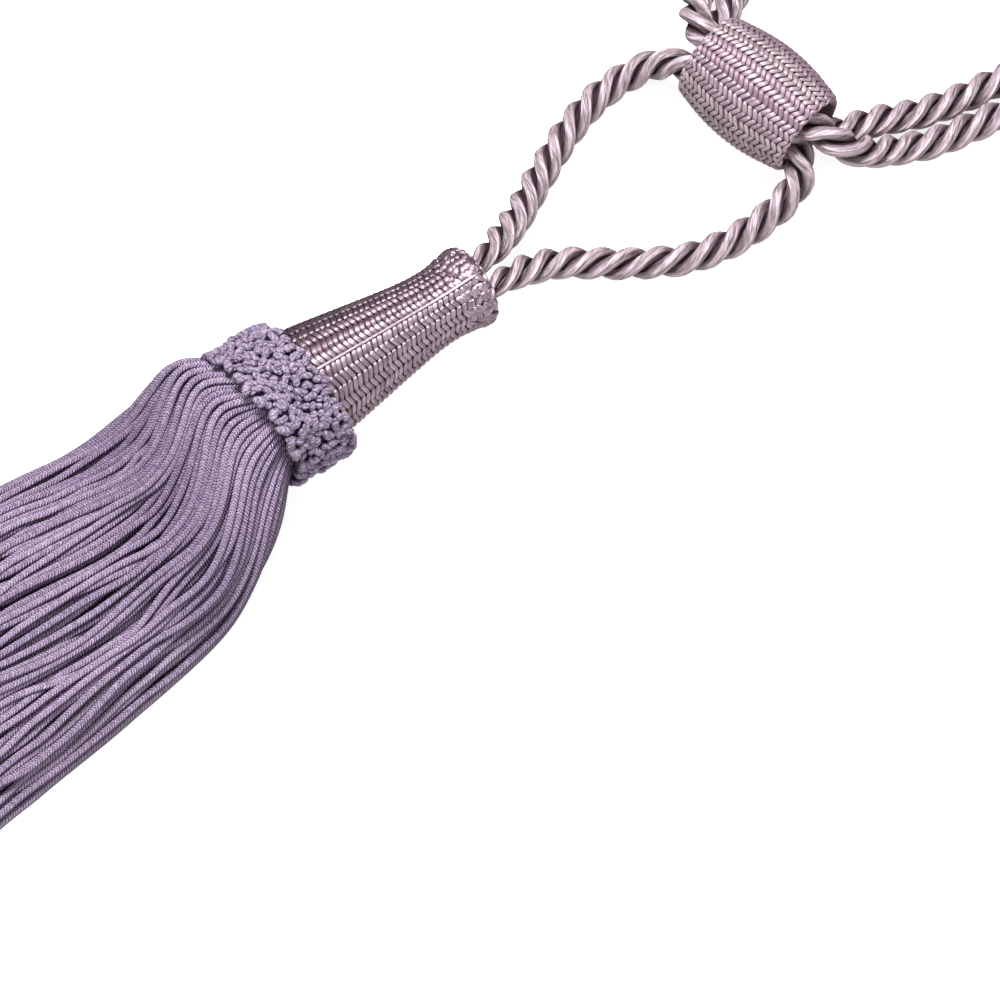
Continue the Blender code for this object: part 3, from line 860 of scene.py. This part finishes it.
def braid_paths(profile, arms, pitch, slant, loose_from):
    """Short yarns in slanted columns over a turned form: paths, normals and radii shares.

    profile is the form's outside as (distance along X, radius) points. Past loose_from along X
    the yarns lie irregularly, and twice as close.
    """
    line, run = smooth_line([Vector((x, r, 0)) for x, r in profile], pitch / 8)
    slopes = unit(np.gradient(line, axis=0))
    outward = np.stack([-slopes[:, 1], slopes[:, 0]], axis=1)
    share = np.linspace(-YARN_REACH, YARN_REACH, YARN_STEPS)
    bulge = np.cos(share / YARN_REACH * math.pi / 2) ** YARN_FULLNESS
    width = np.sin(np.linspace(YARN_POINT, math.pi - YARN_POINT, YARN_STEPS)) ** YARN_FULLNESS
    paths, normals = [], []
    dice = np.random.default_rng(3)
    for arm in range(arms):
        side = 1 if arm % 2 else -1
        for row in range(2 * int(run[-1] / pitch)):
            middle = (row / 2 + 0.5) * pitch
            loose = np.interp(middle, run, line[:, 0]) > loose_from
            if row % 2 and not loose:
                continue
            lean, shift = (dice.normal(0, TIP_LEAN), dice.normal(0, TIP_SHIFT)) if loose else (0, 0)
            slope = side * slant + lean
            at = middle + (dice.normal(0, YARN_STRAY) + slope * share * 2) * pitch
            angle = (arm + 0.5 + share + shift) * math.tau / arms
            x, r = (np.interp(at, run, line[:, axis]) for axis in (0, 1))
            lean_x, lean_r = (np.interp(at, run, outward[:, axis]) for axis in (0, 1))
            height = YARN_RISE * (bulge - 1) * (1 + dice.normal(0, YARN_UNEVENNESS))
            height = height - (abs(dice.normal(0, TIP_KNOBS)) if loose else 0)
            x, r = x + lean_x * height, r + lean_r * height
            paths.append(np.stack([x, r * np.cos(angle), r * np.sin(angle)], 1))
            normals.append(np.stack([lean_x, lean_r * np.cos(angle), lean_r * np.sin(angle)], 1))
    return np.array(paths), np.array(normals), np.array([width] * len(paths))


def braid_mesh(name, profile, arms, pitch, slant, yarn, loose_from=math.inf):
    """The braid's mesh, and how many yarns lie in each of its columns."""
    sunk = [(x, r - yarn * YARN_SINK) for x, r in profile]
    paths, normals, widths = braid_paths(sunk, arms, pitch, slant, loose_from)
    radii = pinched(widths * yarn, 1)
    mesh = tubes_mesh(name, paths, radii, YARN_SIDES, unit(normals), YARN_FLATNESS)
    return mesh, len(paths) // arms


def barrel_profile():
    """The barrel's outside, from the lip of one end to the lip of the other."""
    end = BARREL_HALF_LENGTH
    swell = BARREL_BELLY_RADIUS - BARREL_END_RADIUS
    outside = [
        (end * share, BARREL_END_RADIUS + swell * (1 - share**2))
        for share in np.linspace(-BARREL_FULL_SHARE, BARREL_FULL_SHARE, BELLY_STEPS)
    ]
    height, depth, clear = BARREL_LIP
    lip = [(end, BARREL_END_RADIUS - height), (end - depth, BARREL_BORE_RADIUS + clear)]
    return [(-x, r) for x, r in reversed(lip)] + outside + lip


def add_barrel(painted_shadow_form):
    place = Matrix.Translation(BARREL_CENTRE) @ Matrix.Rotation(BARREL_TURN, 4, "Z")
    profile = barrel_profile()
    cover, column = braid_mesh(
        "barrel_braid", profile, BARREL_ARMS, BARREL_PITCH, BARREL_SLANT, BARREL_YARN
    )
    cover.transform(place)
    rest_flat(cover)
    braid = braid_material("barrel_satin_yarn", BARREL_SATIN, column)
    add_piece("barrel_braid", cover, braid, "barrel")
    inside = BARREL_BORE_RADIUS
    shell = [(x, max(inside, r - COVER_DEPTH)) for x, r in profile]
    shell += [(shell[-1][0], inside), (shell[0][0], inside), shell[0]]
    base = turned_mesh("barrel_core", shell, BARREL_STEPS)
    base.transform(place)
    add_piece("barrel_core", base, painted_shadow_form, "barrel")


def add_head_seam():
    """The cord that runs along the head between two of its arms, pale with a painted highlight."""
    line, _ = smooth_line([Vector((x, r, 0)) for x, r in HEAD_PROFILE[:-HEAD_LIP]], HEAD_PITCH)
    angle = HEAD_SEAM_ARM * math.tau / HEAD_ARMS
    around = np.array((0, math.cos(angle), math.sin(angle)))
    path = line[:, :1] * (1, 0, 0) + (line[:, 1:2] + HEAD_SEAM_RADIUS / 3) * around
    radii = pinched(np.full((1, len(path)), HEAD_SEAM_RADIUS), 2)
    normals = np.broadcast_to(around, (1, *path.shape))
    seam = tubes_mesh("head_seam", path[None], radii, YARN_SIDES, normals)
    seam.transform(TASSEL_AXIS)
    yarn = braid_material("seam_satin_yarn", SEAM_HIGHLIGHT_SATIN)
    add_piece("head_seam", seam, yarn, "head")


def add_head(painted_shadow_form):
    cover, column = braid_mesh(
        "head_braid", HEAD_PROFILE, HEAD_ARMS, HEAD_PITCH, HEAD_SLANT, HEAD_YARN, TIP_START
    )
    cover.transform(TASSEL_AXIS)
    braid = braid_material("head_satin_yarn", HEAD_SATIN, column)
    add_piece("head_braid", cover, braid, "head")
    add_head_seam()
    hole = HEAD_PROFILE[-1][1]
    core = [(x, r - COVER_DEPTH) for x, r in HEAD_PROFILE[:-HEAD_LIP]]
    core += [
        (HEAD_PROFILE[-HEAD_LIP][0] - HOLE_EDGE[0], hole + HOLE_EDGE[1]),
        (HEAD_PROFILE[-1][0], hole),
        (HEAD_HOLE_FLOOR, hole),
    ]
    base = turned_mesh("head_core", [(core[0][0], 0), *core, (HEAD_HOLE_FLOOR, 0)], HEAD_STEPS)
    base.transform(TASSEL_AXIS)
    add_piece("head_core", base, painted_shadow_form, "head")


# The ruff


def ruff_radius(along):
    crown = np.sqrt(np.clip(1 - (along / RUFF_HALF_WIDTH) ** 2, 0, 1))
    return RUFF_EDGE_RADIUS + RUFF_CROWN * crown


def ruff_bit(dice, along, angle, turn, loop, sunk):
    """One short bent bit of crochet cord on the ruff: its path and its outward directions."""
    bend = np.linspace(-1, 1, BIT_STEPS) * dice.uniform(*BIT_BENDS)
    forward, outward = loop * np.sin(bend), loop * (np.cos(bend) - BIT_RISE)
    x = along + forward * math.cos(turn)
    around = angle + forward * math.sin(turn) / ruff_radius(along)
    r = ruff_radius(along) - sunk + outward
    out = np.stack([np.zeros(BIT_STEPS), np.cos(around), np.sin(around)], 1)
    path = r[:, None] * out
    path[:, 0] = x
    return path, out


def ruff_bits():
    """All the bits of cord: knots everywhere, and a row of larger loops at the skirt's edge."""
    dice = np.random.default_rng(8)
    bits, radii = [], []
    for number in range(KNOT_COUNT):
        along = RUFF_HALF_WIDTH * (2 * (number + 0.5) / KNOT_COUNT - 1) * KNOT_REACH
        turn = dice.uniform(0, math.pi)
        sunk = KNOT_SINK * dice.uniform(0, 1)
        along += dice.normal(0, RUFF_STRAY)
        angle = number * GOLDEN_ANGLE + dice.normal(0, KNOT_SHIFT)
        loop = KNOT_LOOP * dice.uniform(*KNOT_LOOP_SHARES)
        bits.append(ruff_bit(dice, along, angle, turn, loop, sunk))
        radii.append(KNOT_CORD * dice.uniform(*KNOT_CORD_SHARES))
    for number in range(EDGE_LOOPS):
        side = 1 if number % 2 else -1
        angle = (number + dice.normal(0, EDGE_SHIFT)) * math.tau / EDGE_LOOPS
        turn = math.pi / 2 + side * EDGE_SLANT + dice.normal(0, EDGE_TURN)
        along = -RUFF_HALF_WIDTH * EDGE_REACH + dice.normal(0, RUFF_STRAY)
        bits.append(ruff_bit(dice, along, angle, turn, EDGE_LOOP, 0))
        radii.append(EDGE_CORD * dice.uniform(*EDGE_CORD_SHARES))
    paths, outward = (np.array(part) for part in zip(*bits))
    return paths, outward, np.repeat(np.array(radii)[:, None], BIT_STEPS, axis=1)


def add_ruff(material, painted_shadow_form):
    paths, outward, radii = ruff_bits()
    mesh = tubes_mesh("ruff_knots", paths, pinched(radii, 3), YARN_SIDES, outward)
    lean = Matrix.Identity(4)
    lean[0][1] = -RUFF_SLANT
    mesh.transform(TASSEL_AXIS @ lean)
    rest_flat(mesh)
    add_piece("ruff_knots", mesh, material, "ruff")
    places = RUFF_HALF_WIDTH * np.linspace(-BAND_REACH, BAND_REACH, BAND_STATIONS)
    band = [(along, ruff_radius(along) - BAND_SINK) for along in places]
    band = [(places[0], RUFF_BORE), *band, (places[-1], RUFF_BORE), (places[0], RUFF_BORE)]
    base = turned_mesh("ruff_band", band, BAND_STEPS)
    base.transform(TASSEL_AXIS @ lean)
    rest_flat(base)
    add_piece("ruff_band", base, painted_shadow_form, "ruff")


# The skirt


def golden_lattice(count):
    """Places in a disc of radius 1 that stay evenly apart when the disc is stretched."""
    golden = (1 + math.sqrt(5)) / 2
    cell = math.sqrt(math.pi / count / math.sqrt(5))
    steps = np.arange(-LATTICE_REACH, LATTICE_REACH + 1)
    m, n = np.meshgrid(steps, steps)
    across, up = LATTICE_SHIFT
    places = cell * np.stack([m + n * golden + across, m + n * (1 - golden) + up], -1)
    places = places.reshape(-1, 2)
    order = np.argsort(np.linalg.norm(places, axis=1), kind="stable")
    return places[order[:count]]


def slow_noise(dice, stations, waves):
    """A smooth random course along each strand's stations, about -1 to 1."""
    at = np.linspace(0, 1, stations)
    total = np.zeros(stations)
    for wave in range(1, waves + 1):
        total += dice.normal(0, 1 / wave) * np.sin(math.tau * (wave * at + dice.uniform()))
    return total / 1.5


def rippled(dice, at, across, waves):
    """A smooth random field along the skirt and across it, about -1 to 1."""
    total = np.zeros((len(at), len(across)))
    for _ in range(waves):
        along, sideways = dice.uniform(0.6, 2.6), dice.uniform(-1.6, 1.6)
        total += np.sin(math.tau * (along * at[:, None] + sideways * across + dice.uniform()))
    return total / math.sqrt(waves)


def settle(target, shear, spacing):
    """Pushes strands apart until each lies beside or on its neighbours, section by section.

    target is (station, strand, YZ). shear is how much nearer to each other the strands run than
    the section shows, because they lie aslant.
    """
    place = target.copy()
    same = np.eye(place.shape[1]) * 10  # keeps a strand from pushing itself
    for _ in range(SETTLING_ROUNDS):
        apart = place[:, :, None, :] - place[:, None, :, :]
        apart[..., 0] *= shear[:, None, None]
        apart[..., 1] /= STRAND_FLATNESS
        gap = np.sqrt((apart**2).sum(-1)) + same
        push = np.clip(spacing[:, None, None] - gap, 0, None) / gap
        move = (push[..., None] * apart).sum(2) * SETTLING_PUSH
        place = place + move
        place = place + SETTLING_RETURN * (target - place)
        middle = (place[2:] + place[:-2]) / 2
        place[1:-1] += SETTLING_STIFFNESS * (middle - place[1:-1])
        place[..., 1] = np.maximum(place[..., 1], STRAND_RADIUS)
        place[:HELD_STATIONS] = target[:HELD_STATIONS]
    return place


def skirt_paths():
    """Each strand's path and radii, from inside the ruff to its tip."""
    shares = np.linspace(0, 1, STRAND_STATIONS) ** STATION_CROWDING
    stations = SKIRT_SECTIONS[0][0] + (SKIRT_SECTIONS[-1][0] - SKIRT_SECTIONS[0][0]) * shares
    columns = smooth_columns(SKIRT_SECTIONS, stations)
    half_width, middle, half_height, settled, sweep = (column[:, None] for column in columns.T)
    lattice = golden_lattice(STRAND_COUNT)
    across, up = lattice[:, 0], lattice[:, 1]
    dice = np.random.default_rng(SKIRT_SEED)

    loose = np.clip((-LOOSE_FROM - stations) / LOOSE_OVER, 0, 1)[:, None]
    calm = 1 - SIDE_CALM * across**4
    wander = np.stack([slow_noise(dice, STRAND_STATIONS, 3) for _ in across], 1)
    group = across * CLUMPS + CLUMP_LEAN * up + CLUMP_WANDER * rippled(dice, shares, across, 4)
    mean, ripple, most = DRAW_SHARES
    draw = np.clip(mean + ripple * rippled(dice, shares, across, 3), 0, most)
    pull = CLUMP_DRAW * loose * draw
    drawn = -pull * calm * np.sin(math.tau * group) / (math.tau * CLUMPS)
    strayed = calm * (WEAVE * rippled(dice, shares, across, 4) + STRAY * wander)
    y = middle + half_width * (across + drawn + sweep * up) + strayed * loose

    depth = np.sqrt(np.clip(1 - across**2, 0, 1))
    free_base = AXIS_HEIGHT - half_height * depth
    base = free_base + settled * (STRAND_RADIUS - free_base)
    relief = 1 + RELIEF * loose * rippled(dice, shares, across, 4)
    dips = DIP * loose * np.stack([slow_noise(dice, STRAND_STATIONS, 5) for _ in across], 1)
    z = np.maximum(base + (up + depth) * half_height * relief + dips, STRAND_RADIUS)

    shear = np.cos(np.arctan(np.gradient((middle + half_width * sweep)[:, 0], stations)))
    radii = np.interp(-stations, ROOT_ENDS, (ROOT_RADIUS, STRAND_RADIUS))
    place = settle(np.stack([y, z], -1), shear, 2 * radii * PRESSED)
    tip_shift = dice.uniform(-1, 1, STRAND_COUNT) * TIP_SPREAD - EDGE_DRAW * across**2
    stretch = 1 + shares[None] * tip_shift[:, None] / abs(SKIRT_SECTIONS[-1][0])
    paths = np.empty((STRAND_COUNT, STRAND_STATIONS, 3))
    paths[:, :, 0] = stations[None] * stretch
    paths[:, :, 1:] = place.transpose(1, 0, 2)
    return paths, pinched(np.broadcast_to(radii, paths.shape[:2]), 1)


def add_skirt():
    """Two pieces, since the strands in the middle of the skirt lie in the others' shade, which is
    painted on their colour.
    """
    paths, radii = skirt_paths()
    half = STRAND_COUNT // 2
    up = np.broadcast_to((0.0, 0.0, 1.0), paths.shape)
    for name, part, shade in (
        ("skirt_strands_inner", slice(0, half), INNER_SHADE),
        ("skirt_strands_outer", slice(half, None), 1.0),
    ):
        mesh = tubes_mesh(name, paths[part], radii[part], STRAND_SIDES, up[part], STRAND_FLATNESS)
        add_piece(name, mesh, chain_material("chain_" + name, shade), "skirt")


# The studio


def add_camera():
    data = bpy.data.cameras.new("camera")
    data.lens = LENS_MM
    data.sensor_width = SENSOR_MM
    camera = bpy.data.objects.new("camera", data)
    bpy.context.scene.collection.objects.link(camera)
    flat = math.cos(CAMERA_ELEVATION)
    back = Vector(
        (
            math.sin(CAMERA_AZIMUTH) * flat,
            -math.cos(CAMERA_AZIMUTH) * flat,
            math.sin(CAMERA_ELEVATION),
        )
    )
    camera.location = LOOK_AT + CAMERA_DISTANCE * back
    camera.rotation_euler = back.to_track_quat("Z", "Y").to_euler()
    bpy.context.scene.camera = camera


def add_key():
    data = bpy.data.lights.new("key", "AREA")
    data.shape = "RECTANGLE"
    data.size = KEY_SIZE
    data.size_y = KEY_SIZE
    data.energy = KEY_POWER
    light = bpy.data.objects.new("key", data)
    light.location = KEY_PLACE
    light.rotation_euler = (KEY_PLACE - LOOK_AT).to_track_quat("Z", "Y").to_euler()
    bpy.context.scene.collection.objects.link(light)


def add_floor():
    mesh = bpy.data.meshes.new("floor")
    slab = bmesh.new()
    bmesh.ops.create_grid(slab, x_segments=1, y_segments=1, size=FLOOR_REACH)
    slab.to_mesh(mesh)
    slab.free()
    floor = bpy.data.objects.new("floor", mesh)
    bpy.context.scene.collection.objects.link(floor)
    material, tree, shader = principled(
        "floor_white", 0.9, Emission_Color=(1, 1, 1, 1), Emission_Strength=FLOOR_GLOW
    )
    noise = add_node(tree, "ShaderNodeTexNoise", Scale=FLOOR_GRAIN)
    pale = mix_colours(tree, noise.outputs["Fac"], *((grey, grey, grey) for grey in FLOOR_GREYS))
    tree.links.new(pale, shader.inputs["Base Color"])
    mesh.materials.append(material)
    floor.visible_diffuse = False  # its glow doesn't light the yarns
    floor.visible_glossy = False


def add_sky():
    world = bpy.data.worlds.new("studio")
    world.use_nodes = True
    tree = world.node_tree
    place = add_node(tree, "ShaderNodeTexCoord")
    side = add_node(
        tree, "ShaderNodeVectorMath", _0=place.outputs["Generated"], _1=SKY_BRIGHT_SIDE
    )
    side.operation = "DOT_PRODUCT"
    dimmest, brightest = SKY_STRENGTHS
    strength = add_node(
        tree,
        "ShaderNodeMapRange",
        Value=side.outputs["Value"],
        From_Min=SKY_DARK_UNTIL,
        To_Min=dimmest,
        To_Max=brightest,
    )
    tree.links.new(strength.outputs["Result"], tree.nodes["Background"].inputs["Strength"])
    tree.nodes["Background"].inputs["Color"].default_value = (1, 1, 1, 1)
    bpy.context.scene.world = world


def build():
    add_camera()
    add_rope(rope_material())
    # The dark forms under the braids and the ruff are painted shadow.
    add_head(painted_shadow_material("painted_shadow_mauve", HEAD_SHADOW))
    add_barrel(painted_shadow_material("painted_shadow_barrel", BARREL_SHADOW))
    add_ruff(knot_material(), painted_shadow_material("painted_shadow_lilac", RUFF_SHADOW))
    add_skirt()
    add_floor()
    add_sky()
    add_key()
    bpy.context.scene.view_settings.view_transform = "Standard"


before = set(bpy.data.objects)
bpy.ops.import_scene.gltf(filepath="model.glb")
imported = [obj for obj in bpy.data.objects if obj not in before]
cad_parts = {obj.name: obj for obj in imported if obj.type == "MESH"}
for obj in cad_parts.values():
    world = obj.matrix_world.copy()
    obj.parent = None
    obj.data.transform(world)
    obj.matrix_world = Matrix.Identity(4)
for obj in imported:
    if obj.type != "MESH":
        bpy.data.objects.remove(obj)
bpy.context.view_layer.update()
build()
